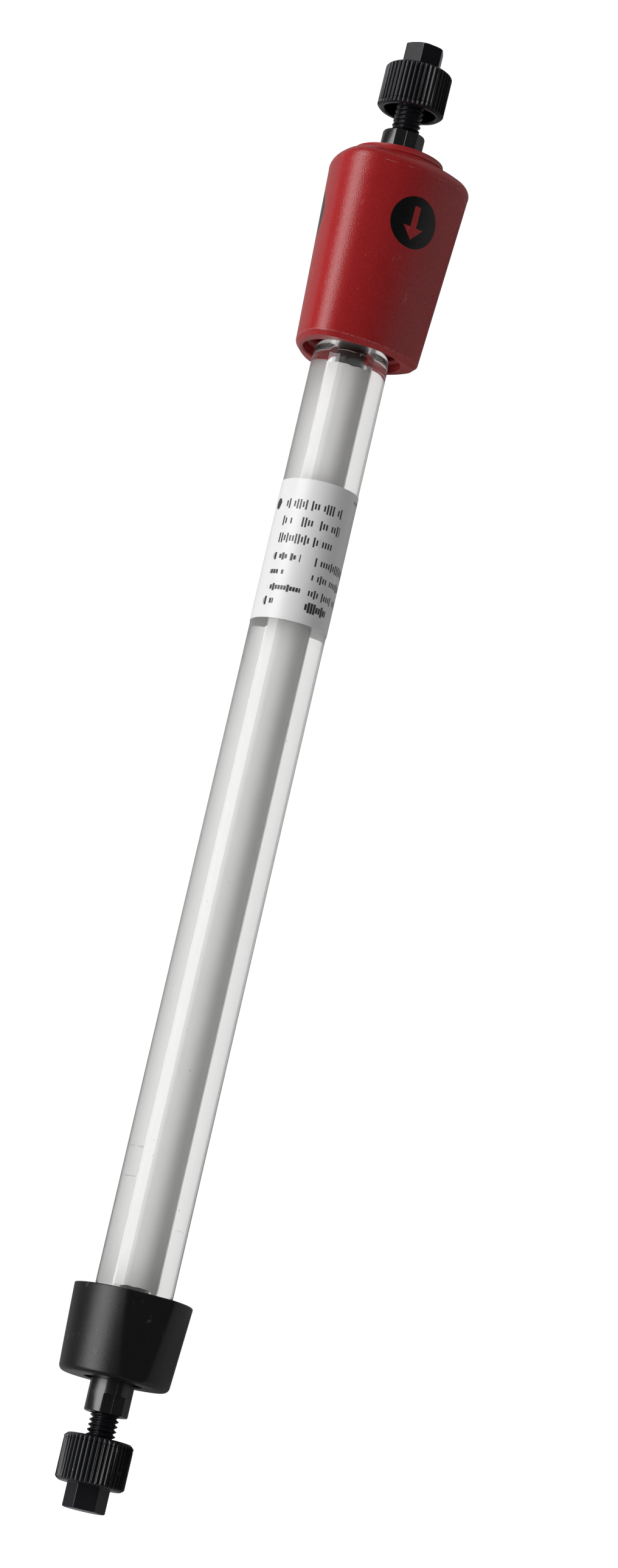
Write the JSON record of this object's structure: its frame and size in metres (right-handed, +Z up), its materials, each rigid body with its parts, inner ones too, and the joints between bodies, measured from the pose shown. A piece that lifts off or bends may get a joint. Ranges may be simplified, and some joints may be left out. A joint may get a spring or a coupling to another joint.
{
  "type": "hplc column",
  "caption": "Glass chromatography column: thick tube packed with white gel, triangular inlet cap, short round outlet cap, filter holders and ribbed stop plugs.",
  "frame": {"origin": "on the bore's axis, half way along the packed bed, in the bare glass that a column clip grips", "axes": "+X along the bore towards the inlet cap, +Z up with one corner of the inlet cap on top, so that the column lies on one of the cap's flat faces"},
  "size_m": [0.2448, 0.0242, 0.0232],
  "materials": {
    "clear_glass": "polished borosilicate glass",
    "white_gel": "wet white gel beads, smooth against the glass",
    "label_film": "white film label, satin",
    "red_cap_plastic": "fine-grained moulded red plastic",
    "black_cap_plastic": "fine-grained moulded black plastic",
    "collar_plastic": "moulded black plastic",
    "holder_plastic": "semi-gloss moulded black plastic",
    "porous_filter": "sintered white plastic",
    "seal_rubber": "smooth black rubber",
    "ring_steel": "spring steel",
    "plug_plastic": "glossy moulded black plastic"
  },
  "bodies": {
    "column": {"glass_tube": "clear_glass", "gel_bed": "white_gel", "label": "label_film", "top_collar_upper": "collar_plastic", "top_collar_lower": "collar_plastic", "bottom_collar_upper": "collar_plastic", "bottom_collar_lower": "collar_plastic"},
    "top_end": {"top_filter_holder": "holder_plastic", "top_filter": "porous_filter", "top_o_ring": "seal_rubber", "top_snap_ring": "ring_steel"},
    "top_cap": {"top_cap": "red_cap_plastic"},
    "top_plug": {"top_stop_plug": "plug_plastic"},
    "bottom_end": {"bottom_filter_holder": "holder_plastic", "bottom_filter": "porous_filter", "bottom_o_ring": "seal_rubber", "bottom_snap_ring": "ring_steel"},
    "bottom_cap": {"bottom_cap": "black_cap_plastic"},
    "bottom_plug": {"bottom_stop_plug": "plug_plastic"}
  },
  "joints": [
    {"name": "top_holder_slide", "type": "slide", "parent": "column", "child": "top_end", "axis": [1, 0, 0], "range_m": [0, 0.0072]},
    {"name": "top_cap_turn", "type": "hinge", "parent": "top_end", "child": "top_cap", "pos_m": [0.085, 0, 0], "axis": [1, 0, 0], "range_deg": [0, 1727]},
    {"name": "top_plug_slide", "type": "slide", "parent": "top_end", "child": "top_plug", "axis": [1, 0, 0], "range_m": [0, 0.0065]},
    {"name": "bottom_holder_slide", "type": "slide", "parent": "column", "child": "bottom_end", "axis": [-1, 0, 0], "range_m": [0, 0.0072]},
    {"name": "bottom_cap_turn", "type": "hinge", "parent": "bottom_end", "child": "bottom_cap", "pos_m": [-0.085, 0, 0], "axis": [-1, 0, 0], "range_deg": [0, 1727]},
    {"name": "bottom_plug_slide", "type": "slide", "parent": "bottom_end", "child": "bottom_plug", "axis": [-1, 0, 0], "range_m": [0, 0.0065]}
  ],
  "couplings": [
    {"joint": "top_holder_slide", "follows": "top_cap_turn", "m_per_rad": 0.00023873},
    {"joint": "bottom_holder_slide", "follows": "bottom_cap_turn", "m_per_rad": 0.00023873}
  ]
}
